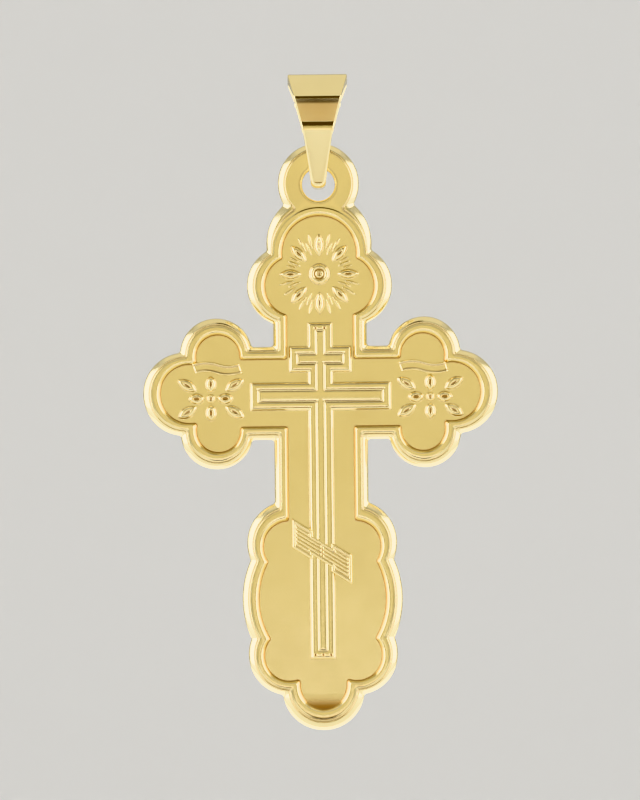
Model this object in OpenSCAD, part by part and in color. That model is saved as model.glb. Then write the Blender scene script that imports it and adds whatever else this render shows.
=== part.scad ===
// Three-bar cross pendant in yellow gold: a cast cross with a scalloped edge, hung on a bail.
// Millimetres. X runs across the arms, Y from front to back and Z up. The origin is where
// the chain bears, on the inside of the bail's top.

/* [Cross] */
// Width across the arms, which scales the whole cross and its relief
arm_span = 20; // [18:0.5:22]
// Thickness of the casting at its raised border
border_t = 1.0; // [0.9:0.05:1.1]
// Depth of the flat field below the border
field_depth = 0.28; // [0.15:0.01:0.35]
// Width of the bevel round the outside edge
bevel_w = 0.36; // [0.2:0.02:0.4]
// Depth of that bevel
bevel_h = 0.3; // [0.15:0.01:0.35]

/* [Eye] */
// Radius of the hole that the bail passes through
hole_r = 0.93; // [0.9:0.01:0.96]
// Width of the chamfer round both ends of the hole
hole_chamfer = 0.1; // [0.05:0.01:0.1]

/* [Relief] */
// Height of the raised figures above the field
relief_h = 0.18; // [0.1:0.01:0.25]
// Width of the cuts along the three bars
groove_w = 0.1; // [0.06:0.01:0.14]
// Number of petals round the sun
petal_count = 8; // [6:1:10]

/* [Bail] */
// Thickness of the bail's strap
strap_t = 0.55; // [0.5:0.05:0.7]
// Thickness of the strap where it bends under the eye
seat_t = 0.85; // [0.75:0.01:0.9]
// Half the depth inside the lower bend, which holds the eye
seat_r = 1.01; // [1.0:0.01:1.04]
// Radius of the lower bend's corners, inside
seat_corner_r = 0.5; // [0.4:0.05:0.9]
// Radius of the lower bend's corners, outside
bend_r = 0.4; // [0.3:0.05:0.6]
// How far the legs' outer faces lean out towards their top
leg_lean = 0.24; // [0:0.02:0.3]
// Height of the small ledge where the folded top ends on the legs
ledge_h = 0.08; // [0.04:0.01:0.1]
// Half the width of the bail at its top
top_half_w = 1.68; // [1.5:0.02:1.8]
// Half the width of the bail at its lower bend
seat_half_w = 0.43; // [0.4:0.01:0.45]

/* [Hidden] */
$fn = 96;
GOLD = [0.87, 0.78, 0.48];
eps = 0.01;

// All sizes of the outline below belong to a cross with this span
drawn_span = 20.07;
k = arm_span / drawn_span;

// Centre of the lower bend, on which the cross swings
swing_z = -4.02;
// Height of the crossing's centre, which keeps the middle of the eye's upper arc on swing_z
eye_up = 11.82;
eye_r = 2.29;
hole_up = 11.77;
arc_top = (eye_up + eye_r) * k;
arc_bottom = hole_up * k + hole_r;
cross_z = swing_z - (arc_top + arc_bottom) / 2;
// The back lies nearer the swing line than the front, so that the cross hangs plumb
back_y = 0.41 * border_t;
field_t = border_t - field_depth;
edge_t = border_t - bevel_h;

// Outline lobes on one side of the cross. Columns: sideways, up from the crossing, radius
SHOULDER = [1.83, 6.07, 2.27];
ARM_SIDE = [5.88, 2.21, 2.05];
ARM_END = [7.68, 0, 2.355];
FOOT_UPPER = [1.82, -8.50, 2.42];
FOOT_LOWER = [1.90, -14.77, 2.32];
FOOT_MIDDLE = [0.81, -11.65, 5.34];
// Outline lobes on the centre line, with the same columns
TOP = [0, 8.40, 2.98];
TIP = [0, -16.75, 2.32];
// Half widths of the upright and of the arms
upright_half = 2.65;
arm_half = 2.63;

// The field's own lobes, inside the border, with the same columns
FIELD_SHOULDER = [1.41, 6.04, 1.68];
FIELD_ARM_SIDE = [5.79, 2.07, 1.24];
FIELD_ARM_END = [7.41, 0, 1.65];
FIELD_FOOT_UPPER = [1.87, -8.70, 1.45];
FIELD_FOOT_LOWER = [1.90, -14.86, 1.42];
FIELD_FOOT_MIDDLE = [0.77, -11.65, 4.36];
FIELD_TOP = [0, 7.89, 2.10];
FIELD_TIP = [0, -16.58, 1.42];
field_upright_half = 1.87;
field_arm_half = 1.89;
field_foot_end = -15.9;

// Sun over the crossing
sun_up = 6.71;
sun_boss_r = 0.56;
sun_petal = [1.16, 0.48]; // length, width
sun_petal_out = 1.62;
sun_ray_w = 0.09;
// Rays in each gap between petals. Columns: degrees off the gap's middle, inner end, outer end
SUN_RAYS = [[-7.4, 1.52, 2.36], [0, 1.15, 2.0], [7.4, 1.52, 2.36]];

// Bars of the relief cross. Columns: length, width, up from the crossing
TITLE_BAR = [3.55, 1.40, 1.84];
MAIN_BAR = [7.85, 1.44, -0.28];
upright_w = 1.34;
upright_top = 3.94;
upright_end = -15.0;
foot_bar_w = 3.48;
foot_bar_h = 1.57;
foot_bar_up = -9.0;
foot_bar_drop = 2.1;
foot_cuts = 4;

// Flower and ribbon on each arm
flower_at = [6.2, -0.28];
flower_petal = [0.95, 0.46]; // length, width
flower_petal_out = 0.70;
flower_boss_r = 0.24;
flower_leaf = [1.15, 0.36]; // length, width
flower_leaf_at = [1.42, 0.42];
flower_leaf_turn = 62;
ribbon_at = [5.82, 1.40];
ribbon_len = 2.44;
ribbon_w = 0.46;
ribbon_wave = 0.12;
ribbon_steps = 16;

// Lower bend of the bail, seen from the side. The legs lean out from this height up
leg_z = swing_z - 0.3;
leg_out = seat_r + strap_t;
leg_top = leg_out + leg_lean;
leg_angle = atan(leg_lean / (-2.5 - leg_z));
seat_bottom = swing_z - seat_r;
strap_bottom = seat_bottom - seat_t;
bend_z = strap_bottom + bend_r;
bend_y = leg_out - (leg_z - bend_z) * tan(leg_angle) - bend_r / cos(leg_angle);
// Bail in side view. Columns: out from the middle, up from the origin
STRAP_OUTER = [[0.75, strap_t], [2.06, -0.53], [2.2, -0.76], [2.17, -0.9], [leg_top, -2.03],
               [leg_top + ledge_h + 0.02, -2.3], [leg_top + ledge_h, -2.5], [leg_top, -2.5],
               [bend_y + bend_r * cos(leg_angle), bend_z - bend_r * sin(leg_angle)],
               [bend_y, strap_bottom]];
STRAP_INNER = [[0.55, 0], [1.58, -0.8], [1.54, -0.95], [seat_r + 0.23, -2.1],
               [seat_r + 0.22, -2.5], [seat_r, swing_z], [seat_r, seat_bottom + seat_corner_r],
               [seat_r - seat_corner_r, seat_bottom]];
// Bail in front view. Columns: half the width, up from the origin
STRAP_FRONT = [[top_half_w, strap_t + eps], [top_half_w, 0.05], [1.32, -0.62], [0.92, -2.45],
               [0.77, -2.7], [seat_half_w + 0.1, -4.0], [seat_half_w, strap_bottom + seat_half_w],
               [seat_half_w / 2, strap_bottom + seat_half_w / 2]];

// Shapes drawn in X and Y stand up facing the front, and grow towards it from the back plane
module stand(depth_from = 0) {
  translate([0, back_y - depth_from, cross_z]) rotate([90, 0, 0]) children();
}

module both_sides() {
  children();
  mirror([1, 0, 0]) children();
}

module four_ways() {
  both_sides() {
    children();
    mirror([0, 1, 0]) children();
  }
}

module lobe(at) {
  translate([at[0], at[1]]) circle(r = at[2]);
}

// One lobe of the casting with its bevelled front edge
module edge_lobe(at) {
  translate([at[0] * k, at[1] * k, 0]) {
    cylinder(r = at[2] * k, h = edge_t);
    translate([0, 0, edge_t]) cylinder(r1 = at[2] * k, r2 = at[2] * k - bevel_w, h = bevel_h);
  }
}

// A straight stretch of the casting along X, with the same bevel
module edge_bar(from, to, half) {
  section = [[-half, 0], [half, 0], [half, edge_t], [half - bevel_w, border_t],
             [bevel_w - half, border_t], [-half, edge_t]];
  translate([from, 0, 0]) rotate([90, 0, 90]) linear_extrude(height = to - from) polygon(section);
}

// Two large lobes cross here, and their overlap is the foot's waist
module edge_waist() {
  intersection() {
    edge_lobe(FOOT_MIDDLE);
    mirror([1, 0, 0]) edge_lobe(FOOT_MIDDLE);
  }
}

module casting_blank() {
  stand() {
    edge_lobe([0, eye_up, eye_r]);
    edge_lobe(TOP);
    both_sides() edge_lobe(SHOULDER);
    rotate([0, 0, 90]) edge_bar(-15 * k, 8.4 * k, upright_half * k);
    edge_bar(-7.6 * k, 7.6 * k, arm_half * k);
    four_ways() edge_lobe(ARM_SIDE);
    both_sides() edge_lobe(ARM_END);
    both_sides() edge_lobe(FOOT_UPPER);
    edge_waist();
    both_sides() edge_lobe(FOOT_LOWER);
    edge_lobe(TIP);
  }
}

module field_outline() {
  scale([k, k]) {
    lobe(FIELD_TOP);
    both_sides() lobe(FIELD_SHOULDER);
    translate([-field_upright_half, field_foot_end])
      square([2 * field_upright_half, FIELD_SHOULDER[1] - field_foot_end]);
    translate([-FIELD_ARM_END[0], -field_arm_half])
      square([2 * FIELD_ARM_END[0], 2 * field_arm_half]);
    four_ways() lobe(FIELD_ARM_SIDE);
    both_sides() lobe(FIELD_ARM_END);
    both_sides() lobe(FIELD_FOOT_UPPER);
    intersection() {
      lobe(FIELD_FOOT_MIDDLE);
      mirror([1, 0]) lobe(FIELD_FOOT_MIDDLE);
    }
    both_sides() lobe(FIELD_FOOT_LOWER);
    lobe(FIELD_TIP);
  }
}

module hole() {
  stand() translate([0, hole_up * k, 0]) {
    translate([0, 0, -eps]) cylinder(r = hole_r, h = border_t + 2 * eps);
    translate([0, 0, border_t - hole_chamfer])
      cylinder(r1 = hole_r, r2 = hole_r + hole_chamfer + eps, h = hole_chamfer + eps);
    translate([0, 0, -eps])
      cylinder(r1 = hole_r + hole_chamfer + eps, r2 = hole_r, h = hole_chamfer + eps);
  }
}

// A raised figure that stands on the field and is rooted a little way into it
module raised(h = relief_h) {
  root = 0.05;
  stand(field_t - root) linear_extrude(height = h + root) scale([k, k]) children();
}

// Two arcs that meet in points at both ends
module almond(size) {
  r = (pow(size[0], 2) + pow(size[1], 2)) / (4 * size[1]);
  intersection() {
    translate([r - size[1] / 2, 0]) circle(r = r);
    translate([size[1] / 2 - r, 0]) circle(r = r);
  }
}

module sun() {
  translate([0, sun_up]) {
    circle(r = sun_boss_r);
    for (i = [0 : petal_count - 1]) rotate(i * 360 / petal_count) {
      translate([0, sun_petal_out]) almond(sun_petal);
      rotate(180 / petal_count)
        for (ray = SUN_RAYS) rotate(ray[0])
          translate([-sun_ray_w / 2, ray[1]]) square([sun_ray_w, ray[2] - ray[1]]);
    }
  }
}

module level_bar(bar) {
  translate([-bar[0] / 2, bar[2] - bar[1] / 2]) square([bar[0], bar[1]]);
}

module foot_bar(height) {
  x = foot_bar_w / 2;
  drop = foot_bar_drop / 2;
  translate([0, foot_bar_up])
    polygon([[-x, drop - height / 2], [x, -drop - height / 2],
             [x, -drop + height / 2], [-x, drop + height / 2]]);
}

module bars() {
  level_bar(TITLE_BAR);
  level_bar(MAIN_BAR);
  foot_bar(foot_bar_h);
  translate([-upright_w / 2, upright_end]) square([upright_w, upright_top - upright_end]);
}

module bar_grooves() {
  inner = 0.26;
  for (bar = [TITLE_BAR, MAIN_BAR]) for (side = [-1, 1])
    level_bar([bar[0] - 2 * inner, groove_w, bar[2] + side * bar[1] * 0.2]);
  for (side = [-1, 1])
    translate([side * upright_w * 0.28 - groove_w / 2, upright_end + 2 * inner])
      square([groove_w, MAIN_BAR[2] - MAIN_BAR[1] / 2 - inner - upright_end - 2 * inner]);
  for (i = [1 : foot_cuts])
    translate([0, foot_bar_h * (i / (foot_cuts + 1) - 0.5)]) foot_bar(groove_w);
}

module flower() {
  translate(flower_at) {
    circle(r = flower_boss_r);
    for (a = [0, 90, 180, 270]) rotate(a) translate([0, flower_petal_out]) almond(flower_petal);
    for (sx = [-1, 1]) for (sy = [-1, 1])
      translate([sx * flower_leaf_at[0], sy * flower_leaf_at[1]])
        rotate(-sx * sy * flower_leaf_turn) almond(flower_leaf);
  }
}

function ribbon_mid(i) = ribbon_wave * sin(360 * i / ribbon_steps);

module ribbon() {
  step = ribbon_len / ribbon_steps;
  upper = [for (i = [0 : ribbon_steps])
             [step * i - ribbon_len / 2, ribbon_mid(i) + ribbon_w / 2]];
  lower = [for (i = [ribbon_steps : -1 : 0])
             [step * i - ribbon_len / 2, ribbon_mid(i) - ribbon_w / 2]];
  translate(ribbon_at) polygon(concat(upper, lower));
}

module cross() {
  color(GOLD) difference() {
    union() {
      difference() {
        casting_blank();
        stand(field_t) linear_extrude(height = field_depth + eps) field_outline();
      }
      raised() sun();
      difference() {
        raised() bars();
        stand(field_t + relief_h * 0.45) linear_extrude(height = relief_h) scale([k, k]) bar_grooves();
      }
      raised(relief_h * 0.8) both_sides() flower();
      raised(relief_h * 0.8) both_sides() ribbon();
    }
    hole();
  }
}

// Closes an outline whose right half runs from top to bottom
function mirrored(half) =
  concat(half, [for (i = [len(half) - 1 : -1 : 0]) [-half[i][0], half[i][1]]]);

// Extrudes a side view, drawn as depth and height, across the bail
module across() {
  w = top_half_w + 1;
  translate([-w, 0, 0]) rotate([90, 0, 90]) linear_extrude(height = 2 * w) children();
}

// The two corners of a bend, as far out and as high as their arcs' centres
module corners(out, up, r) {
  for (side = [-1, 1]) across() translate([side * out, up]) circle(r = r);
}

module bail_loop() {
  difference() {
    union() {
      across() polygon(mirrored(STRAP_OUTER));
      corners(bend_y, bend_z, bend_r);
    }
    across() polygon(mirrored(STRAP_INNER));
    corners(seat_r - seat_corner_r, seat_bottom + seat_corner_r, seat_corner_r);
  }
}

module bail_front() {
  rotate([90, 0, 0]) {
    linear_extrude(height = 8, center = true) polygon(mirrored(STRAP_FRONT));
    translate([0, strap_bottom + seat_half_w, 0])
      cylinder(r = seat_half_w, h = 8, center = true);
  }
}

module bail() {
  color(GOLD) intersection() {
    bail_loop();
    bail_front();
  }
}

bail();
cross();
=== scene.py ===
import math

import bmesh
import bpy
from bpy.props import FloatProperty, FloatVectorProperty, IntProperty, PointerProperty
from mathutils import Matrix, Vector


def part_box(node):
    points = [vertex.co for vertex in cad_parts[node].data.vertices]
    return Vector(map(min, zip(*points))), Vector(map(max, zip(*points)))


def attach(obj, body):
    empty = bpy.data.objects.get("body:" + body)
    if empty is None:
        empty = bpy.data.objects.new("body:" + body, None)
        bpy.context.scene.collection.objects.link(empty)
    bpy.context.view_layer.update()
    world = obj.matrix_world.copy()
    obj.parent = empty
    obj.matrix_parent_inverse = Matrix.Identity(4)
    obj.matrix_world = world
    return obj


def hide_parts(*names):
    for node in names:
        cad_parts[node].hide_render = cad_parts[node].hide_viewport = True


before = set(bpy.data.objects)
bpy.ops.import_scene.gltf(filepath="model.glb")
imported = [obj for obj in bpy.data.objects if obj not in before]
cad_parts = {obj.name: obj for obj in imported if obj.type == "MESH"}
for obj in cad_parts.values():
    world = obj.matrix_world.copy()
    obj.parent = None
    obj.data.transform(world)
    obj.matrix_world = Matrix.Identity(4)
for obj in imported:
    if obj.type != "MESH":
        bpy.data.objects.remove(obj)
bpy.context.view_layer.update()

bl_info = {
    "name": "Three-bar Cross Pendant",
    "version": (1, 0, 0),
    "blender": (4, 5, 0),
    "location": "View3D > Sidebar > Pendant",
    "description": "Builds a cast gold cross with its folded bail, and the studio round it",
    "category": "Add Mesh",
}

CROSS_LOW, CROSS_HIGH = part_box("cross")
MM = 0.001

# The tables below are in millimetres, for a cross of this width across the arms.
DRAWN_SPAN = 20.07
# Points nearer than the first are one, and at the seam of mirrored halves nearer than the second.
MERGE = 0.0005
SEAM_MERGE = 0.002
# A straight side is drawn as part of a lobe so large that it is flat.
FLAT = 1.0e4

# Lobes down the right half: sideways, up from the crossing, radius.
EYE = (0.0, 11.82, 2.29)
OUTER = [
    (0.0, 8.40, 2.98),
    (1.83, 6.07, 2.27),
    (2.65 - FLAT, 4.0, FLAT),
    (3.0, 2.63 - FLAT, FLAT),
    (5.88, 2.21, 2.05),
    (7.68, 0.0, 2.355),
    (5.88, -2.21, 2.05),
    (3.0, FLAT - 2.63, FLAT),
    (2.65 - FLAT, -4.0, FLAT),
    (1.82, -8.50, 2.42),
    (-0.81, -11.65, 5.34),
    (1.90, -14.77, 2.32),
    (0.0, -16.75, 2.32),
]
# The same lobes where the border steps down to the field.
FIELD = [
    (0.0, 7.89, 2.10),
    (1.41, 6.04, 1.68),
    (1.87 - FLAT, 4.0, FLAT),
    (3.0, 1.89 - FLAT, FLAT),
    (5.79, 2.07, 1.24),
    (7.41, 0.0, 1.65),
    (5.79, -2.07, 1.24),
    (3.0, FLAT - 1.89, FLAT),
    (1.87 - FLAT, -4.0, FLAT),
    (1.87, -8.70, 1.45),
    (-0.77, -11.65, 4.36),
    (1.90, -14.86, 1.42),
    (0.0, -16.50, 1.32),
]
# Notches between lobes are rounded with this radius, in this many steps.
NOTCH = 0.17
NOTCH_STEPS = 5
# A straight side has points close to its ends, so that its shading is even in between.
STRAIGHT_STOPS = (0.06, 0.94, 1.0)
# Straight-sided figures are cut this small for the same reason.
CUT = 0.2
# Under the eye the border's two halves part: the edge runs up round the eye,
# and the bead closes in an arch below it.
EYE_INNER = (0.0, 11.80, 1.34)
TOP_UNDER_EYE = (0.0, 7.40, 2.27)
TOP_ARCH = (0.0, 7.89, 3.05)

# Rows of the border: share of the way in from the edge, depth below the highest
# point, and how much painted shade darkens it (0 to 1), in the groove and at the step to the field.
EDGE_ROWS = [
    (0.10, 1.0, 0), (0.06, 1.0, 0), (0.035, 0.994, 0), (0.012, 0.975, 0), (0.0, 0.94, 0),
    (0.0, 0.44, 0), (0.004, 0.38, 0), (0.02, 0.325, 0), (0.06, 0.262, 0), (0.12, 0.195, 0),
    (0.19, 0.128, 0), (0.26, 0.076, 0), (0.32, 0.042, 0), (0.35, 0.034, 0.1),
    (0.366, 0.040, 0.3), (0.382, 0.058, 0.65), (0.402, 0.061, 0.65), (0.422, 0.044, 0.3),
    (0.438, 0.032, 0.1), (0.455, 0.03, 0),
]
BEAD_ROWS = [
    (0.475, 0.03, 0), (0.49, 0.026, 0), (0.52, 0.012, 0), (0.56, 0.003, 0), (0.62, 0.0, 0),
    (0.73, 0.0, 0), (0.79, 0.004, 0), (0.825, 0.014, 0), (0.852, 0.036, 0), (0.875, 0.07, 0),
    (0.905, 0.125, 0), (0.93, 0.177, 0.1), (0.95, 0.217, 0.45), (0.967, 0.25, 0.95),
    (0.983, 0.272, 1.15), (1.0, 0.279, 1.1), (1.02, 0.28, 0.6), (1.05, 0.28, 0.15), (1.1, 0.28, 0),
]
LAND_DEPTH = EDGE_ROWS[-1][1]
BEAD_DEPTH = BEAD_ROWS[-1][1]
# The eye's hole: how far up it lies, steps round it, and rows of radius, depth and painted shade.
HOLE_UP = 11.77
HOLE_STEPS = 128
HOLE_ROWS = [
    (1.15, 0.03, 0), (1.11, 0.03, 0.2), (1.085, 0.036, 0.5), (1.06, 0.03, 0.2),
    (1.02, 0.032, 0), (0.98, 0.052, 0), (0.95, 0.09, 0), (0.93, 0.15, 0), (0.93, 0.90, 0),
    (0.95, 0.955, 0), (0.985, 0.985, 0), (1.03, 1.0, 0), (1.08, 1.0, 0),
]

# Sun over the crossing: its boss in rows of radius, height and painted shade. Each petal and ray
# has a length and a width, and lies with its middle this far out.
SUN_UP = 6.71
SUN_STEPS = 48
SUN_BOSS = [
    (0.63, 0.0, 0), (0.60, 0.0, 0.5), (0.56, 0.02, 0.4), (0.53, 0.06, 0), (0.50, 0.10, 0),
    (0.46, 0.135, 0), (0.41, 0.15, 0), (0.36, 0.14, 0), (0.32, 0.105, 0.3), (0.29, 0.06, 0.9),
    (0.26, 0.05, 1), (0.235, 0.07, 0.5), (0.20, 0.11, 0), (0.15, 0.135, 0), (0.10, 0.13, 0.2),
    (0.06, 0.10, 0.8), (0.0, 0.09, 1),
]
PETAL = (1.16, 0.48)
PETAL_OUT = 1.64
PETAL_STEPS = 14
PETAL_ROWS = [
    (-0.06, 0.0, 0), (-0.035, 0.0, 0.4), (-0.012, 0.015, 0.4), (0.01, 0.045, 0), (0.035, 0.082, 0),
    (0.07, 0.115, 0), (0.11, 0.138, 0), (0.15, 0.15, 0), (0.18, 0.147, 0), (0.198, 0.12, 0.4),
    (0.212, 0.085, 1), (0.222, 0.078, 1),
]
LONG_RAY = (0.92, 0.15)
LONG_RAY_OUT = 1.90
SHORT_RAY = (0.80, 0.15)
SHORT_RAY_OUT = 1.53
# Two long rays stand this many degrees to both sides of each short one.
RAY_SPREAD = 7.6
RAY_STEPS = 8
# The rays in these gaps point at the border's noses and are cut short.
NOSE_GAPS = (1, 6)
NOSE_RAY = (0.60, 0.10)
NOSE_RAY_OUT = 1.62
RAY_ROWS = [
    (-0.02, 0.0, 0), (-0.006, 0.0, 0.3), (0.008, 0.02, 0), (0.025, 0.045, 0), (0.045, 0.06, 0),
]

# Three-bar cross: half the post's width, where it starts and ends, and for each bar half its
# length, half its height and how far up it lies. The foot bar falls this much for each step right.
POST_HALF = 0.667
POST_TOP = 3.93
POST_FOOT = -15.04
TITLE_BAR = (1.735, 0.71, 1.90)
MAIN_BAR = (3.955, 0.76, -0.20)
FOOT_BAR = (1.69, 0.84, -8.97)
FOOT_SLOPE = -0.63
# Rows of a raised figure: way in from its outline, height above what it stands on, painted shade.
FRAME_ROWS = [
    (-0.055, 0.0, 0), (-0.035, 0.0, 0.4), (-0.012, 0.015, 0.3), (0.01, 0.045, 0),
    (0.035, 0.078, 0), (0.075, 0.11, 0), (0.13, 0.132, 0), (0.20, 0.14, 0), (0.28, 0.14, 0),
    (0.35, 0.132, 0), (0.395, 0.117, 0), (0.418, 0.10, 0.2), (0.432, 0.09, 0.5),
    (0.445, 0.088, 0.5),
]
SPINE_ROWS = [
    (0.44, 0.0, 0.5), (0.445, 0.032, 0.5), (0.458, 0.045, 0.2), (0.485, 0.06, 0), (0.53, 0.073, 0),
    (0.59, 0.08, 0),
]
# The spine starts this far below the innermost row of the frame.
SPINE_SUNK = 0.03
SLANT_ROWS = [
    (0.0, -0.04, 0), (0.0, 0.02, 0.6), (0.008, 0.09, 0.1), (0.03, 0.15, 0), (0.065, 0.185, 0),
    (0.11, 0.195, 0), (0.15, 0.184, 0), (0.17, 0.17, 0.1), (0.182, 0.158, 0.4), (0.20, 0.156, 0.4),
]
RIB_ROWS = [
    (0.0, -0.02, 0.6), (0.006, 0.006, 0.4), (0.018, 0.024, 0), (0.036, 0.04, 0), (0.056, 0.048, 0),
    (0.074, 0.05, 0),
]
RIB_HALF = 0.103
# Ribs on each half of the slanting bar: how far up, and from where to where out from the post.
RIBS = [
    (-0.44, 0.72, 1.475), (-0.22, 0.04, 1.475), (0.0, 0.04, 1.475), (0.22, 0.04, 1.475),
    (0.44, 0.72, 1.475),
]
# The slanting bar is narrow over the post: this far to each side, and half this high.
WAIST = (0.50, 0.56)
# Small cups at the head and the foot of the post, in rows of radius, height and painted shade, how
# high they stand, and where across and up.
CUP = [
    (0.13, -0.04, 0), (0.125, 0.0, 0.2), (0.113, 0.03, 0), (0.095, 0.045, 0), (0.075, 0.04, 0.3),
    (0.06, 0.02, 0.9), (0.045, 0.008, 1), (0.0, 0.006, 1),
]
CUP_LIFT = 0.14
CUP_STEPS = 24
CUPS = [(-0.25, 3.66), (0.25, 3.66), (-0.44, -14.82), (0.0, -14.82), (0.44, -14.82)]

# Flower on each arm: where it lies, its boss, and its petals and leaves by length and width.
FLOWER_AT = (6.2, -0.28)
FLOWER_STEPS = 40
FLOWER_BOSS = [
    (0.27, 0.0, 0), (0.255, 0.0, 0.6), (0.235, 0.02, 0.5), (0.22, 0.08, 0), (0.195, 0.12, 0),
    (0.155, 0.14, 0), (0.12, 0.13, 0), (0.095, 0.10, 0.8), (0.06, 0.09, 1), (0.0, 0.11, 0.5),
]
FLOWER_PETAL = (0.86, 0.56)
FLOWER_PETAL_OUT = 0.81
LEAF = (1.14, 0.56)
LEAF_AT = (1.34, 0.76)
LEAF_TURN = 60.0
LEAF_STEPS = 12
LEAF_ROWS = [
    (-0.06, 0.0, 0), (-0.035, 0.0, 0.4), (-0.01, 0.02, 0.3), (0.015, 0.055, 0), (0.05, 0.095, 0),
    (0.10, 0.12, 0), (0.16, 0.132, 0), (0.205, 0.125, 0.1), (0.23, 0.095, 0.7), (0.25, 0.085, 1),
]
# Ribbon over each flower: where its middle lies, its length and width, and how far it waves.
RIBBON_AT = (5.83, 1.42)
RIBBON_STEPS = 12
RIBBON_LENGTH = 2.62
RIBBON_WIDTH = 0.60
RIBBON_SWELL = 0.11
RIBBON_ROWS = [
    (0.0, -0.06, 0), (0.0, 0.02, 0.5), (0.01, 0.09, 0), (0.03, 0.135, 0), (0.06, 0.15, 0),
    (0.09, 0.14, 0), (0.115, 0.115, 0.6), (0.14, 0.10, 0.6), (0.19, 0.10, 0),
]

# The field bends up towards the border at its foot. Rows of the bend: how far up, lift and painted
# shade, round a strip of this half width. The painted shade grows towards the foot and stands in
# for a dark reflection there. The strip has points close to its ends, for even shading.
BEND_HALF = 1.46
BEND_STOPS = (-0.98, -0.5, 0.0, 0.5, 0.98, 1.0)
BEND = [
    (-16.4, -0.15, 0), (-16.4, -0.0026, 0), (-16.6, -0.002, 0), (-16.8, -0.0013, 0),
    (-16.95, -0.0006, 0), (-17.05, 0.0001, 0.05), (-17.16, 0.001, 0.12), (-17.27, 0.0022, 0.26),
    (-17.38, 0.004, 0.44), (-17.49, 0.0062, 0.64), (-17.6, 0.009, 0.86), (-17.7, 0.013, 1.05),
    (-17.82, 0.02, 1.12), (-18.1, 0.04, 1.12), (-18.1, -0.15, 1.12),
]

# Bail, seen from the side, its front half: out from the middle, up from the origin, and the radius
# of the corner, for both faces of the strap.
STRAP_OUTSIDE = [
    (0.0, 0.55, 0), (0.60, 0.55, 0.40), (2.19, -0.80, 0.25), (2.19, -0.93, 0.012),
    (2.102, -1.13, 2.2), (1.782, -2.19, 0.05), (1.87, -2.42, 0.05), (1.88, -2.60, 0.03),
    (1.782, -2.66, 0.02), (1.355, -5.88, 0.40), (0.0, -5.88, 0),
]
STRAP_INSIDE = [
    (0.0, 0.0, 0), (0.5, 0.0, 0.30), (1.58, -0.85, 0.12), (1.545, -1.0, 0.05),
    (1.48, -1.2, 0.8), (1.24, -2.12, 0.15), (1.24, -2.34, 0.15), (1.235, -2.55, 0.0),
    (1.22, -2.67, 0.0), (1.01, -5.03, 0.50), (0.0, -5.03, 0),
]
# Steps round each of these corners, and round each long edge of the strap.
STRAP_STEPS = 8
EDGE_STEPS = 5
# The strap's outer edges start to grow rounder at this height, and are roundest this far below it.
TIP_FROM = -5.35
TIP_FADE = 0.4
# Bail, seen from the front: how far up, and half its width there.
STRAP_FRONT = [
    (0.55, 1.67), (0.05, 1.67), (-0.70, 1.36), (-2.6, 0.88), (-2.72, 0.78), (-3.37, 0.66),
    (-4.25, 0.54), (-4.87, 0.48), (-5.5, 0.43), (-6.0, 0.43),
]

# Polish, in waves per metre: wide clouds, fine haze, and the lines of the wheel, which run level.
CLOUD_SCALE = 260.0
HAZE_SCALE = 1500.0
LINE_SCALES = (90.0, 90.0, 2600.0)
# How much painted shade and clouds dull the colour, and the painted shade's mask and haze roughen
# the surface.
SHADE_PAINT_STRENGTH, CLOUD_DULLS = 0.85, 0.25
SHADE_MASK_ROUGHENS, HAZE_ROUGHENS = 0.22, 0.07
# Fine unevenness: the share of haze in it, how strong it is and how high, in metres.
HAZE_SHARE = 0.35
BUMP_STRENGTH, BUMP_HEIGHT = 0.06, 0.00004

# Studio, in metres: how high the floor is, how far it runs flat, the cove's radius and steps, and
# how high its wall reaches above the floor.
FLOOR_UP = -0.17
COVE_FLAT = 0.55
COVE_RADIUS = 0.35
COVE_STEPS = 16
COVE_WALL = 1.1
COVE_ROUND = 96
WORLD_COLOUR = (1.0, 0.99, 0.97, 1.0)
# Softboxes, which face this point: name, place, width, height, radiance and colour.
LIGHT_AIM = (0.0, 0.0, -0.018)
SOFTBOXES = [
    ("front_fill", (0.0, -0.62, 0.045), 0.90, 0.22, 0.14, (1.0, 0.9, 0.6)),
    ("left_softbox", (-0.42, -0.10, 0.05), 0.45, 0.45, 5.8, (0.98, 1.0, 1.06)),
    ("right_softbox", (0.42, -0.10, 0.05), 0.45, 0.45, 5.2, (1.0, 1.0, 1.0)),
    ("top_softbox", (0.0, -0.02, 0.42), 0.60, 0.40, 0.2, (1.0, 0.85, 0.4)),
    ("low_reflector", (0.0, 0.04, -0.105), 0.30, 0.12, 2.2, (1.0, 1.0, 1.0)),
    ("low_front", (0.0, -0.54, -0.117), 0.14, 0.036, 4.2, (0.97, 1.0, 1.12)),
]
# Cards that the metal reflects: name, place, width, height, colour. Their paint fades to a darker
# foot, a painted shade: the darkest share of the colour, how far they have come from it at the
# origin's height, and how much further per metre up.
CARD_DARKEST, CARD_MIDDLE, CARD_RISE = 0.7, 0.66, 4.0
CARDS = [
    ("front_card", (0.0, -0.66, 0.155), 1.0, 0.59, (0.65, 0.585, 0.395)),
    ("high_card", (0.0, -0.012, 0.0095), 0.012, 0.021, (0.07, 0.04, 0.015)),
    ("low_card", (0.0, -0.10, -0.061), 0.05, 0.0234, (0.585, 0.46, 0.31)),
    ("dark_card", (0.0, -0.10, -0.0915), 0.05, 0.0375, (0.03, 0.008, 0.001)),
]
# Camera: focal length and film width in millimetres, the point it looks at in millimetres, how far
# in front of it the camera stands in metres, and how far it is rolled in degrees.
LENS, FILM = 200.0, 36.0
CAMERA_AIM = (-0.037, 0.0, -17.786)
CAMERA_OFF = 0.2506
CAMERA_ROLL = 0.616
CAMERA_CLIP = (0.01, 10.0)


def mixed(a, b, share):
    """The values between those of two tuples."""
    return tuple(p + (q - p) * share for p, q in zip(a, b))


def clamped(value):
    """A value kept from 0 to 1."""
    return min(max(value, 0.0), 1.0)


def opaque(colour):
    """A colour with full alpha."""
    return (*colour, 1.0)


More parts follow.
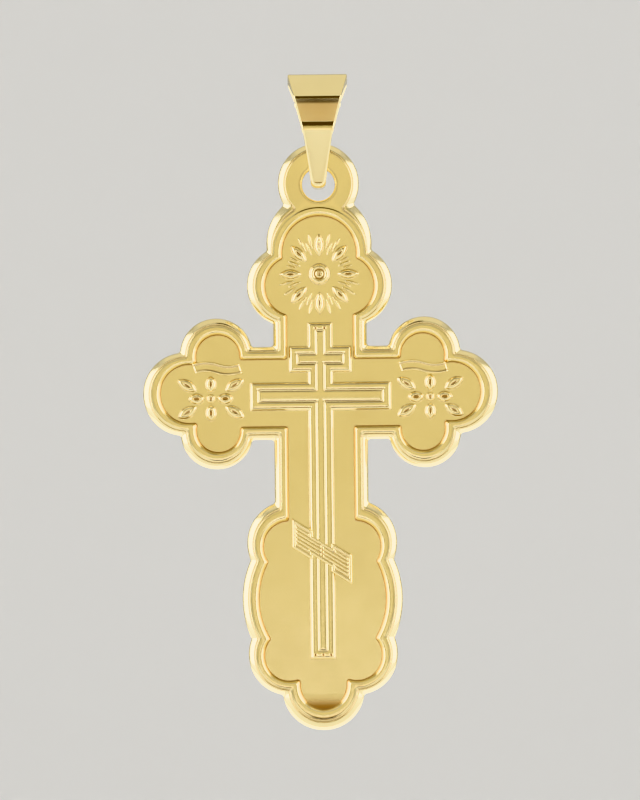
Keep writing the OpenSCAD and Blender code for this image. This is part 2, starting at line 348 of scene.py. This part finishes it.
def between(table, position):
    """Reads a table of (position, value), sorted from the highest position down."""
    for (high, first), (low, second) in zip(table, table[1:]):
        if position >= low:
            return first + (second - first) * clamped((high - position) / (high - low))
    return table[-1][1]


def at(x, z, turn=0.0, lift=0.0):
    """A place in the plane of a sketch, turned clockwise."""
    return Matrix.Translation((x, -lift, z)) @ Matrix.Rotation(turn, 4, "Y")


def meet(a, b):
    """Where two lobes meet, on the outer side as the outline runs clockwise from a to b."""
    across, up = b[0] - a[0], b[1] - a[1]
    span = math.hypot(across, up)
    along = (a[2] ** 2 - b[2] ** 2 + span**2) / (2 * span)
    aside = math.sqrt(max(a[2] ** 2 - along**2, 0.0))
    across, up = across / span, up / span
    return (a[0] + across * along - up * aside, a[1] + up * along + across * aside)


def turn_between(centre, here, there):
    """The clockwise turn about a centre from one point to another."""
    a = math.atan2(here[0] - centre[0], here[1] - centre[1])
    b = math.atan2(there[0] - centre[0], there[1] - centre[1])
    return (b - a) % (2 * math.pi)


def rounded(corners, steps):
    """Moves along lines with an arc at each inner corner, given as (across, up, radius)."""
    moves = []
    for before, corner, after in zip(corners, corners[1:], corners[2:]):
        tip, radius = Vector(corner[:2]), corner[2]
        back = (Vector(before[:2]) - tip).normalized()
        ahead = (Vector(after[:2]) - tip).normalized()
        half = back.angle(ahead) / 2
        reach = radius / math.tan(half)
        first, last = tip + back * reach, tip + ahead * reach
        moves.append(tuple(first))
        if radius:
            centre = tip + (back + ahead).normalized() * radius / math.sin(half)
            turn = turn_between(centre, first, last)
            moves.append((tuple(centre), turn if turn < math.pi else turn - 2 * math.pi, steps))
        else:
            moves += [tuple(last)] * steps
    moves.append(tuple(corners[-1][:2]))
    return moves


class Sketch:
    """A figure in a bmesh of its own, in millimetres: x across, z up, lift towards the viewer."""

    def __init__(self):
        self.bm = bmesh.new()
        # Each point holds how much shade is painted on it, which darkens grooves, pits and steps.
        self.painted_shade = self.bm.verts.layers.float.new("painted_shade")

    def add(self, other, place=Matrix.Identity(4)):
        """Adds another sketch at a place and returns its edges."""
        mesh = bpy.data.meshes.new("part")
        other.bm.to_mesh(mesh)
        mesh.transform(place)
        before = len(self.bm.edges)
        self.bm.from_mesh(mesh)
        bpy.data.meshes.remove(mesh)
        self.bm.edges.ensure_lookup_table()
        return self.bm.edges[before:]

    def draw(self, start, moves, lift=0.0, painted_shade=0.0, closed=False):
        """Draws a wire by arcs (centre, angle, steps) and by straight lines (end)."""
        bm = self.bm
        first = tip = bm.verts.new((start[0], -lift, start[1]))
        for move in moves:
            if len(move) == 3:
                centre, angle, steps = move
                centre = (centre[0], -lift, centre[1])
                drawn = bmesh.ops.spin(
                    bm, geom=[tip], cent=centre, axis=(0, 1, 0), angle=angle, steps=steps)
                tip = drawn["geom_last"][0]
            else:
                tip = bmesh.ops.extrude_vert_indiv(bm, verts=[tip])["verts"][0]
                tip.co = (move[0], -lift, move[1])
        if closed:
            bmesh.ops.weld_verts(bm, targetmap={tip: first})
        for v in bm.verts:
            v[self.painted_shade] = painted_shade
        return self

    def row(self, *wire, **options):
        """Draws a wire apart, adds it and returns its edges."""
        pen = Sketch().draw(*wire, **options)
        edges = self.add(pen)
        pen.bm.free()
        return edges

    def loft(self, rows):
        """Joins each row of edges to the next with a band of faces."""
        for row, following in zip(rows, rows[1:]):
            bmesh.ops.bridge_loops(self.bm, edges=row + following)

    def lathe(self, rows, steps):
        """Turns rows of (radius, lift, painted shade) into a round figure."""
        bm = self.bm
        point = bm.verts.new((rows[0][0], -rows[0][1], 0))
        point[self.painted_shade] = rows[0][2]
        for radius, lift, painted_shade in rows[1:]:
            point = bmesh.ops.extrude_vert_indiv(bm, verts=[point])["verts"][0]
            point.co = (radius, -lift, 0)
            point[self.painted_shade] = painted_shade
        bmesh.ops.spin(
            bm, geom=bm.verts[:] + bm.edges[:], cent=(0, 0, 0), axis=(0, 1, 0), angle=2 * math.pi,
            steps=steps, use_merge=True,
        )
        bmesh.ops.remove_doubles(bm, verts=bm.verts, dist=MERGE)
        return self

    def almond(self, length, width, rows, steps):
        """A leaf-shaped figure that points up and down."""
        radius = (length**2 + width**2) / (4 * width)
        shift = radius - width / 2
        loops = []
        for inset, lift, painted_shade in rows:
            tip = math.sqrt((radius - inset) ** 2 - shift**2)
            half = math.atan2(tip, shift)
            moves = [((-shift, 0), 2 * half, steps), ((shift, 0), 2 * half, steps)]
            loops.append(self.row((0, tip), moves, lift, painted_shade, closed=True))
        self.loft(loops)
        bmesh.ops.contextual_create(self.bm, geom=loops[-1])
        return self

    def raised(self, start, moves, rows, sunk=False):
        """Raises a figure from its outline by rows of (way in, lift, painted shade). The outline
        has already grown by the first row's way in. A sunk figure has a bottom of its own."""
        bm = self.bm
        self.draw(start, moves, rows[0][1], rows[0][2], closed=True)
        face = bmesh.ops.contextual_create(bm, geom=bm.edges)["faces"][0]
        face.normal_update()
        if face.normal.y > 0:
            bmesh.ops.reverse_faces(bm, faces=[face])
        if sunk:
            bmesh.ops.duplicate(bm, geom=[face])
        for (here, low, _), (there, high, painted_shade) in zip(rows, rows[1:]):
            bmesh.ops.inset_region(
                bm, faces=[face], thickness=there - here, depth=high - low,
                use_even_offset=True, use_boundary=True)
            for v in face.verts:
                v[self.painted_shade] = painted_shade
        if sunk:
            bmesh.ops.remove_doubles(bm, verts=bm.verts, dist=MERGE)
        return self

    def cut(self, spacing):
        """Cuts the faces along a grid, across and up."""
        bm = self.bm
        for axis in (0, 2):
            places = [v.co[axis] for v in bm.verts]
            across = Vector((axis == 0, 0, axis == 2))
            for i in range(1, math.ceil((max(places) - min(places)) / spacing)):
                spot = across * (min(places) + spacing * i)
                bmesh.ops.bisect_plane(
                    bm, geom=bm.verts[:] + bm.edges[:] + bm.faces[:], dist=MERGE,
                    plane_co=spot, plane_no=across)
        return self

    def mirrored(self, axis):
        """Adds the other half."""
        bm = self.bm
        bmesh.ops.mirror(
            bm, geom=bm.verts[:] + bm.edges[:] + bm.faces[:], matrix=Matrix.Identity(4),
            merge_dist=SEAM_MERGE, axis=axis)
        return self

    def cover(self, lift):
        """Closes all that is open at this lift with one flat surface."""
        rim = [
            e for e in self.bm.edges
            if e.is_boundary and all(abs(v.co.y + lift) < MERGE for v in e.verts)
        ]
        bmesh.ops.triangle_fill(
            self.bm, use_beauty=True, use_dissolve=False, edges=rim, normal=(0, -1, 0))
        if any(e.is_boundary for e in rim):
            raise RuntimeError("a flat surface didn't close")


class Term:
    """A shader socket that takes part in sums, so that 1 - mask adds a Math node."""

    def __init__(self, finish, socket):
        self.finish, self.socket = finish, socket

    def math(self, operation, *values):
        return self.finish.node("ShaderNodeMath", {"operation": operation}, dict(enumerate(values)))

    def __add__(self, other):
        return self.math("ADD", self, other)

    __radd__ = __add__

    def __mul__(self, other):
        return self.math("MULTIPLY", self, other)

    __rmul__ = __mul__

    def __sub__(self, other):
        return self.math("SUBTRACT", self, other)

    def __rsub__(self, other):
        return self.math("SUBTRACT", other, self)

    def limited(self):
        """Kept from 0 to 1."""
        return self.math("MINIMUM", self.math("MAXIMUM", self, 0.0), 1.0)


class Finish:
    """One material, built from nodes."""

    def __init__(self, name):
        self.material = bpy.data.materials.new(name)
        self.material.use_nodes = True
        self.tree = self.material.node_tree
        self.tree.nodes.clear()

    def node(self, kind, settings=None, inputs=None, output=0):
        """Adds a node with its settings and its sockets' values or links."""
        node = self.tree.nodes.new(kind)
        for key, value in (settings or {}).items():
            setattr(node, key, value)
        for key, value in (inputs or {}).items():
            if isinstance(value, Term):
                self.tree.links.new(value.socket, node.inputs[key])
            else:
                node.inputs[key].default_value = value
        return Term(self, node.outputs[output]) if node.outputs else None

    def blend(self, first, second, share):
        """A colour between two."""
        sockets = {0: share, 6: first, 7: second}
        return self.node("ShaderNodeMix", {"data_type": "RGBA"}, sockets, output=2)

    def noise(self, place, scale, detail, roughness):
        """Even noise, from 0 to 1."""
        return self.node("ShaderNodeTexNoise", inputs={
            "Vector": place, "Scale": scale, "Detail": detail, "Roughness": roughness})

    def surface(self, sockets):
        """Ends the material in one shader and returns it."""
        shader = self.node("ShaderNodeBsdfPrincipled", inputs=sockets)
        self.node("ShaderNodeOutputMaterial", inputs={"Surface": shader})
        return self.material


def gold(name, look):
    """Polished yellow gold, with painted shade that darkens it in grooves, pits and steps."""
    finish = Finish(name)
    place = finish.node("ShaderNodeTexCoord", output="Object")
    # The mask of painted shade in grooves, pits and steps, as the points hold it.
    shade_mask = finish.node("ShaderNodeAttribute", {"attribute_name": "painted_shade"}, output="Fac")
    cloud = finish.noise(place, CLOUD_SCALE, 2.0, 0.5)
    haze = finish.noise(place, HAZE_SCALE, 4.0, 0.6)
    stretched = finish.node("ShaderNodeMapping", inputs={"Vector": place, "Scale": LINE_SCALES})
    lines = finish.noise(stretched, 1.0, 3.0, 0.55)
    painted_shade_and_tone = shade_mask * SHADE_PAINT_STRENGTH + (cloud - 0.5) * CLOUD_DULLS
    # Painted shade, with random clouds of tone, turns the colour warm over its first half, and dark
    # over its second.
    base = finish.blend(opaque(look.colour), opaque(look.warm_shade), (painted_shade_and_tone * 2.0).limited())
    base = finish.blend(base, opaque(look.shade), (painted_shade_and_tone * 2.0 - 1.0).limited())
    bump = finish.node("ShaderNodeBump", inputs={
        "Strength": BUMP_STRENGTH,
        "Distance": BUMP_HEIGHT,
        "Height": haze * HAZE_SHARE + lines * (1 - HAZE_SHARE),
    })
    return finish.surface({
        "Base Color": base,
        "Metallic": 1.0,
        "Roughness": look.roughness + (haze - 0.5) * HAZE_ROUGHENS + shade_mask * SHADE_MASK_ROUGHENS,
        "Normal": bump,
    })


def finished(sketch, name, place, material, body, node):
    """Turns a sketch into a piece that rides on its body and stands for its CAD node."""
    bmesh.ops.transform(sketch.bm, matrix=place, verts=sketch.bm.verts)
    bmesh.ops.recalc_face_normals(sketch.bm, faces=sketch.bm.faces)
    mesh = bpy.data.meshes.new(name)
    sketch.bm.to_mesh(mesh)
    mesh.shade_smooth()
    mesh.materials.append(material)
    piece = bpy.data.objects.new(name, mesh)
    bpy.context.scene.collection.objects.link(piece)
    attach(piece, body)
    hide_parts(node)
    return piece


class CrossSizes(bpy.types.PropertyGroup):
    span: FloatProperty(
        name="Span", description="Width across the arms", default=CROSS_HIGH.x - CROSS_LOW.x,
        unit="LENGTH", precision=4)
    facet: FloatProperty(
        name="Facet", description="Length of the steps that the lobes are drawn with",
        default=0.0001, unit="LENGTH", precision=5)
    petals: IntProperty(name="Petals", description="Petals round the sun", default=8, min=4, max=12)


class BailSizes(bpy.types.PropertyGroup):
    edge: FloatProperty(
        name="Edge", description="Radius of the strap's long edges",
        default=0.00008, unit="LENGTH", precision=5)
    tip: FloatProperty(
        name="Tip", description="Radius of the strap's outer edges under the lower bend",
        default=0.00034, unit="LENGTH", precision=5)


class GoldLook(bpy.types.PropertyGroup):
    colour: FloatVectorProperty(
        name="Colour", description="Colour of the polished gold",
        default=(0.90, 0.77, 0.42), subtype="COLOR")
    # Warm and shade are the colours of the painted shade in grooves, pits and steps, where it is
    # half and where it is full.
    warm_shade: FloatVectorProperty(
        name="Warm", description="Colour where polish thins out",
        default=(0.63, 0.475, 0.235), subtype="COLOR")
    shade: FloatVectorProperty(
        name="Shade", description="Colour where polish is missing",
        default=(0.33, 0.16, 0.03), subtype="COLOR")
    roughness: FloatProperty(
        name="Roughness", description="Roughness of the polished surface",
        default=0.165, subtype="FACTOR")


class StudioLook(bpy.types.PropertyGroup):
    surround: FloatVectorProperty(
        name="Surround", description="Colour of the floor and the cove",
        default=(0.71, 0.705, 0.69), subtype="COLOR")
    ambient: FloatProperty(
        name="Ambient", description="Strength of the even light from all round", default=0.7)


class PENDANT_OT_cross(bpy.types.Operator):
    """Builds the cast cross: plate, border, eye and all raised figures in one mesh"""

    bl_idname = "pendant.cross"
    bl_label = "Cross"

    def execute(self, context):
        sizes = context.scene.pendant_cross
        scale = sizes.span / (DRAWN_SPAN * MM)
        cross = Sketch()
        draw_border(cross, sizes.facet / MM)
        field = Matrix.Translation((0, BEAD_DEPTH, 0))
        # These figures are open at the foot, and the field closes round them.
        cross.add(sun(sizes.petals), field @ at(0, SUN_UP))
        cross.add(bars(), field)
        for side in (-1, 1):
            cross.add(arm_flower(), field @ at(FLOWER_AT[0] * side, FLOWER_AT[1]))
        cross.cover(-LAND_DEPTH)
        cross.cover(-EDGE_ROWS[0][1])
        cross.cover(-BEAD_DEPTH)
        # These are closed and sunk into what they stand on.
        cross.add(spine(), field)
        for side in (-1, 1):
            cross.add(ribbon(), field @ at(RIBBON_AT[0] * side, RIBBON_AT[1]))
        cross.add(field_bend(), field)
        crossing = CROSS_HIGH.z - (EYE[1] + EYE[2]) * scale * MM
        place = Matrix.Translation((0, CROSS_LOW.y, crossing)) @ Matrix.Diagonal(
            (scale * MM, MM, scale * MM, 1))
        metal = gold("cross_gold", context.scene.pendant_gold)
        finished(cross, "cross_casting", place, metal, "cross", "cross")
        return {"FINISHED"}


def draw_border(plate, facet):
    """The plate's edge, groove, bead and step, the eye's hole, and the open back."""
    for outer, inner, rows in (
        ([EYE] + OUTER, [EYE_INNER, TOP_UNDER_EYE] + FIELD[1:], EDGE_ROWS),
        ([TOP_ARCH] + OUTER[1:], FIELD, BEAD_ROWS),
    ):
        steps = lobe_steps(outer, facet)
        loops = []
        for share, depth, painted_shade in rows:
            lobes = [mixed(a, b, share) for a, b in zip(outer, inner)]
            loops.append(lobe_row(plate, lobes, steps, depth, painted_shade))
        plate.loft(loops)
    plate.mirrored("X")
    rows = [(radius, -depth, painted_shade) for radius, depth, painted_shade in HOLE_ROWS]
    plate.add(Sketch().lathe(rows, HOLE_STEPS), at(0, HOLE_UP))


def notch(a, b):
    """The arc that rounds the notch between two lobes: its start, its centre and its end."""
    centre = meet((a[0], a[1], a[2] + NOTCH), (b[0], b[1], b[2] + NOTCH))
    start, end = (mixed(lobe, centre, lobe[2] / (lobe[2] + NOTCH)) for lobe in (a, b))
    return start, centre, end


def lobe_notches(lobes):
    """The notches down the right half, between the two ends on the middle line."""
    top, foot = (0, lobes[0][1] + lobes[0][2]), (0, lobes[-1][1] - lobes[-1][2])
    notches = [notch(a, b) for a, b in zip(lobes, lobes[1:])]
    return [(None, None, top)] + notches + [(foot, None, None)]


def lobe_steps(lobes, facet):
    """How many facets each lobe's arc takes, or None for a straight side."""
    notches = lobe_notches(lobes)
    steps = []
    for lobe, here, there in zip(lobes, notches, notches[1:]):
        length = lobe[2] * turn_between(lobe, here[2], there[0])
        steps.append(max(2, round(length / facet)) if lobe[2] < FLAT else None)
    return steps


def lobe_row(plate, lobes, steps, depth, painted_shade):
    """One row of the border on the right half."""
    notches = lobe_notches(lobes)
    moves = []
    for lobe, here, (start, centre, end), count in zip(lobes, notches, notches[1:], steps):
        if lobe[2] < FLAT:
            moves.append((lobe[:2], turn_between(lobe, here[2], start), count))
        else:
            moves += [mixed(here[2], start, share) for share in STRAIGHT_STOPS]
        if centre:
            moves.append((centre, turn_between(centre, start, end) - 2 * math.pi, NOTCH_STEPS))
    return plate.row(notches[0][2], moves, -depth, painted_shade)


def sun(petals):
    """The boss, its petals and the rays between them."""
    whole = Sketch().lathe(SUN_BOSS, SUN_STEPS)
    petal = Sketch().almond(*PETAL, PETAL_ROWS, PETAL_STEPS)
    long_ray, nose_ray, short_ray = (
        Sketch().almond(*size, RAY_ROWS, RAY_STEPS) for size in (LONG_RAY, NOSE_RAY, SHORT_RAY))
    for i in range(petals):
        turn = 2 * math.pi * i / petals
        whole.add(petal, at(0, 0, turn) @ at(0, PETAL_OUT))
        turn += math.pi / petals
        whole.add(short_ray, at(0, 0, turn) @ at(0, SHORT_RAY_OUT))
        ray, out = (nose_ray, NOSE_RAY_OUT) if i in NOSE_GAPS else (long_ray, LONG_RAY_OUT)
        for off in (-RAY_SPREAD, RAY_SPREAD):
            whole.add(ray, at(0, 0, turn + math.radians(off)) @ at(0, out))
    return whole


def bar_corners(grow):
    """Corners of the post and its two level bars, clockwise from the left of the head."""
    post, top, foot = POST_HALF + grow, POST_TOP + grow, POST_FOOT - grow
    right = [(post, top)]
    for half, rise, up in (TITLE_BAR, MAIN_BAR):
        half, rise = half + grow, rise + grow
        right += [(post, up + rise), (half, up + rise), (half, up - rise), (post, up - rise)]
    right.append((post, foot))
    left = [(-x, z) for x, z in right[::-1]]
    return left[-1:] + right + left[:-1]


def slanted(half, rise):
    """Corners of a slanting strip, clockwise from its upper left."""
    ends = [(-half, rise), (half, rise), (half, -rise), (-half, -rise)]
    return [(x, FOOT_SLOPE * x + z) for x, z in ends]


def slanting_bar():
    """Corners of the slanting bar, clockwise from its upper left. It is narrow over the post."""
    (half, rise, _), (near, low) = FOOT_BAR, WAIST
    top = [(-half, rise), (-near, rise), (-near, low), (near, low), (near, rise), (half, rise)]
    return [(x, FOOT_SLOPE * x + z) for x, z in top + [(-x, -z) for x, z in top]]


def outlined(corners, rows, **options):
    """A figure raised from a straight-sided outline."""
    return Sketch().raised(corners[0], corners[1:] + corners[:1], rows, **options).cut(CUT)


def bars():
    """The frame that runs round the post and its two level bars."""
    return outlined(bar_corners(-FRAME_ROWS[0][0]), FRAME_ROWS)


def spine():
    """The band along the middle of the bars, the slanting bar with its ribs, and the cups."""
    whole = Sketch()
    floor = FRAME_ROWS[-1][1] - SPINE_SUNK
    whole.add(outlined(bar_corners(-SPINE_ROWS[0][0]), SPINE_ROWS, sunk=True), at(0, 0, 0, floor))
    up = FOOT_BAR[2]
    whole.add(outlined(slanting_bar(), SLANT_ROWS, sunk=True), at(0, up))
    for rise, start, end in RIBS:
        rib = outlined(slanted((end - start) / 2, RIB_HALF), RIB_ROWS, sunk=True)
        for middle in (-(start + end) / 2, (start + end) / 2):
            whole.add(rib, at(middle, up + rise + FOOT_SLOPE * middle, 0, SLANT_ROWS[-1][1]))
    cup = Sketch().lathe(CUP, CUP_STEPS)
    for x, z in CUPS:
        whole.add(cup, at(x, z, 0, CUP_LIFT))
    return whole


def arm_flower():
    """Four petals and four leaves round a boss."""
    whole = Sketch().lathe(FLOWER_BOSS, FLOWER_STEPS)
    petal = Sketch().almond(*FLOWER_PETAL, PETAL_ROWS, PETAL_STEPS)
    leaf = Sketch().almond(*LEAF, LEAF_ROWS, LEAF_STEPS)
    for i in range(4):
        whole.add(petal, at(0, 0, math.pi / 2 * i) @ at(0, FLOWER_PETAL_OUT))
    for x in (-1, 1):
        for z in (-1, 1):
            whole.add(leaf, at(LEAF_AT[0] * x, LEAF_AT[1] * z, math.radians(LEAF_TURN) * x * z))
    return whole


def ribbon():
    """A waved ribbon, long enough to run into the border at both ends."""
    quarter, rise = RIBBON_LENGTH / 4, RIBBON_WIDTH / 2
    radius = (quarter**2 + RIBBON_SWELL**2) / (2 * RIBBON_SWELL)
    drop = radius - RIBBON_SWELL
    half_turn = math.atan2(quarter, drop)
    whole, profile = Sketch(), Sketch()
    lower = [(inset - rise, lift, painted_shade) for inset, lift, painted_shade in RIBBON_ROWS]
    points = lower + [(-z, lift, painted_shade) for z, lift, painted_shade in lower[::-1]]
    first = tip = profile.bm.verts.new((0, -points[0][1], points[0][0]))
    for z, lift, painted_shade in points[1:]:
        tip = bmesh.ops.extrude_vert_indiv(profile.bm, verts=[tip])["verts"][0]
        tip.co = (0, -lift, z)
        tip[profile.painted_shade] = painted_shade
    bmesh.ops.contextual_create(profile.bm, geom=[tip, first])
    whole.add(profile, at(-quarter, -drop, -half_turn) @ at(0, radius))
    end = whole.bm.verts[:] + whole.bm.edges[:]
    for x, z, turn in ((-quarter, -drop, 2 * half_turn), (quarter, drop, -2 * half_turn)):
        end = bmesh.ops.spin(
            whole.bm, geom=end, cent=(x, 0, z), axis=(0, 1, 0), angle=turn, steps=RIBBON_STEPS,
        )["geom_last"]
    bmesh.ops.holes_fill(whole.bm, edges=[e for e in whole.bm.edges if e.is_boundary])
    return whole


def field_bend():
    """The strip in which the field bends up at its foot."""
    strip = Sketch()
    rows = [
        strip.row((-BEND_HALF, z), [(BEND_HALF * share, z) for share in BEND_STOPS], lift, painted_shade)
        for z, lift, painted_shade in BEND
    ]
    strip.loft(rows + rows[:1])
    bmesh.ops.holes_fill(strip.bm, edges=[e for e in strip.bm.edges if e.is_boundary])
    return strip


class PENDANT_OT_bail(bpy.types.Operator):
    """Builds the folded bail that carries the cross by its eye"""

    bl_idname = "pendant.bail"
    bl_label = "Bail"

    def execute(self, context):
        sizes = context.scene.pendant_bail
        edge, tip = sizes.edge / MM, sizes.tip / MM
        outer, inner = (
            Sketch().draw(side[0][:2], rounded(side, STRAP_STEPS))
            for side in (STRAP_OUTSIDE, STRAP_INSIDE))
        strap = Sketch()
        sections = []
        for a, b in zip(outer.bm.verts, inner.bm.verts, strict=True):
            out = Vector((0, -a.co.x, a.co.z))
            seat = Vector((0, -b.co.x, b.co.z))
            rounder = edge + (tip - edge) * clamped((TIP_FROM - out.z) / TIP_FADE)
            section = strap_section(
                between(STRAP_FRONT, out.z), (out - seat).length, edge, rounder)
            thick = (out - seat).normalized()
            sideways = Vector((1, 0, 0))
            turn = Matrix((sideways, thick.cross(sideways), thick)).transposed().to_4x4()
            sections.append(strap.add(section, Matrix.Translation(seat) @ turn))
        strap.loft(sections)
        strap.mirrored("Y")
        metal = gold("bail_gold", context.scene.pendant_gold)
        place = Matrix.Diagonal((MM, MM, MM, 1))
        finished(strap, "bail_strap", place, metal, "bail", "bail")
        return {"FINISHED"}


def strap_section(half, thick, inner, outer):
    """The strap cut across: half its width, its thickness and the radii of its edges."""
    moves = []
    for x, z, radius, first_x, first_z in (
        (half, thick, outer, 0, 1),
        (half, 0, inner, 1, 0),
        (-half, 0, inner, 0, -1),
        (-half, thick, outer, -1, 0),
    ):
        centre = (x - math.copysign(radius, x), z - radius if z else radius)
        start = (centre[0] + radius * first_x, centre[1] + radius * first_z)
        moves += [start, (centre, math.pi / 2, EDGE_STEPS)]
    return Sketch().draw(moves[0], moves[1:] + moves[:1], closed=True)


class PENDANT_OT_studio(bpy.types.Operator):
    """Builds the pale floor that runs up into a cove all round, the lights and the camera"""

    bl_idname = "pendant.studio"
    bl_label = "Studio"

    def execute(self, context):
        scene, look = context.scene, context.scene.pendant_studio
        add_floor(scene, look.surround)
        add_lights(scene, look.ambient)
        add_cards(scene)
        add_camera(scene)
        scene.view_settings.view_transform = "Khronos PBR Neutral"
        return {"FINISHED"}


def add_floor(scene, colour):
    """The floor and its cove, turned round the middle."""
    rows = [(0.0, 0.0, 0)]
    for i in range(COVE_STEPS + 1):
        turn = math.pi / 2 * i / COVE_STEPS
        out, rise = COVE_RADIUS * math.sin(turn), COVE_RADIUS * (1 - math.cos(turn))
        rows.append((COVE_FLAT + out, rise, 0))
    rows.append((COVE_FLAT + COVE_RADIUS, COVE_WALL, 0))
    cove = Sketch().lathe(rows, COVE_ROUND)
    upright = Matrix.Translation((0, 0, FLOOR_UP)) @ Matrix.Rotation(-math.pi / 2, 4, "X")
    bmesh.ops.transform(cove.bm, matrix=upright, verts=cove.bm.verts)
    mesh = bpy.data.meshes.new("floor")
    cove.bm.to_mesh(mesh)
    mesh.shade_smooth()
    finish = Finish("floor_paint")
    mesh.materials.append(finish.surface({"Base Color": opaque(colour), "Roughness": 0.9}))
    floor = bpy.data.objects.new("floor", mesh)
    scene.collection.objects.link(floor)


def add_lights(scene, ambient):
    """The even light from all round, and the softboxes."""
    world = bpy.data.worlds.new("studio")
    world.use_nodes = True
    background = world.node_tree.nodes["Background"].inputs
    background["Color"].default_value = WORLD_COLOUR
    background["Strength"].default_value = ambient
    scene.world = world
    for name, place, width, height, radiance, colour in SOFTBOXES:
        light = bpy.data.lights.new(name, "AREA")
        light.shape, light.size, light.size_y = "RECTANGLE", width, height
        light.energy, light.color = radiance * math.pi * width * height, colour
        lamp = bpy.data.objects.new(name, light)
        lamp.location = place
        beam = Vector(LIGHT_AIM) - Vector(place)
        lamp.rotation_euler = beam.to_track_quat("-Z", "Y").to_euler()
        lamp.visible_camera = False
        scene.collection.objects.link(lamp)


def add_cards(scene):
    """Upright matt cards, which only the metal sees. Painted shade darkens each towards its foot.
    """
    for name, place, width, height, colour in CARDS:
        card = Sketch()
        bmesh.ops.create_grid(card.bm, x_segments=1, y_segments=1, size=0.5)
        upright = Matrix.Rotation(math.pi / 2, 4, "X")
        there = Matrix.Translation(place) @ upright @ Matrix.Diagonal((width, height, 1, 1))
        bmesh.ops.transform(card.bm, matrix=there, verts=card.bm.verts)
        mesh = bpy.data.meshes.new(name)
        card.bm.to_mesh(mesh)
        finish = Finish(name)
        spot = finish.node("ShaderNodeTexCoord", output="Object")
        up = finish.node("ShaderNodeSeparateXYZ", inputs={"Vector": spot}, output="Z")
        # Painted shade: the card's colour darkens towards its foot.
        painted_foot_shade = opaque([channel * CARD_DARKEST for channel in colour])
        paint = finish.blend(painted_foot_shade, opaque(colour), (CARD_MIDDLE + up * CARD_RISE).limited())
        mesh.materials.append(
            finish.surface({"Base Color": paint, "Roughness": 1.0, "Specular IOR Level": 0.0}))
        panel = bpy.data.objects.new(name, mesh)
        panel.visible_camera = False
        scene.collection.objects.link(panel)


def add_camera(scene):
    """The camera, which looks level and straight at the front."""
    camera = bpy.data.cameras.new("camera")
    camera.lens, camera.sensor_width = LENS, FILM
    camera.clip_start, camera.clip_end = CAMERA_CLIP
    viewer = bpy.data.objects.new("camera", camera)
    roll = math.radians(CAMERA_ROLL)
    back = Vector((0, -1, 0))
    up = Vector((math.sin(roll), 0, math.cos(roll)))
    turn = Matrix((up.cross(back), up, back)).transposed().to_4x4()
    viewer.matrix_world = Matrix.Translation(Vector(CAMERA_AIM) * MM + back * CAMERA_OFF) @ turn
    scene.collection.objects.link(viewer)
    scene.camera = viewer


class PENDANT_PT_panel(bpy.types.Panel):
    bl_idname = "PENDANT_PT_panel"
    bl_label = "Three-bar Cross Pendant"
    bl_space_type = "VIEW_3D"
    bl_region_type = "UI"
    bl_category = "Pendant"

    def draw(self, context):
        for group, operator in GROUPS:
            box = self.layout.box()
            for prop in getattr(context.scene, group).bl_rna.properties:
                if prop.identifier not in {"rna_type", "name"}:
                    box.prop(getattr(context.scene, group), prop.identifier)
            if operator:
                box.operator(operator)


GROUPS = [
    ("pendant_gold", None),
    ("pendant_cross", "pendant.cross"),
    ("pendant_bail", "pendant.bail"),
    ("pendant_studio", "pendant.studio"),
]
CLASSES = [
    CrossSizes, BailSizes, GoldLook, StudioLook,
    PENDANT_OT_cross, PENDANT_OT_bail, PENDANT_OT_studio, PENDANT_PT_panel,
]


def register():
    for cls in CLASSES:
        bpy.utils.register_class(cls)
    bpy.types.Scene.pendant_cross = PointerProperty(type=CrossSizes)
    bpy.types.Scene.pendant_bail = PointerProperty(type=BailSizes)
    bpy.types.Scene.pendant_gold = PointerProperty(type=GoldLook)
    bpy.types.Scene.pendant_studio = PointerProperty(type=StudioLook)


def unregister():
    for group, _ in GROUPS:
        delattr(bpy.types.Scene, group)
    for cls in reversed(CLASSES):
        bpy.utils.unregister_class(cls)


def main():
    register()
    bpy.ops.pendant.studio()
    bpy.ops.pendant.cross()
    bpy.ops.pendant.bail()


if __name__ == "__main__":
    main()
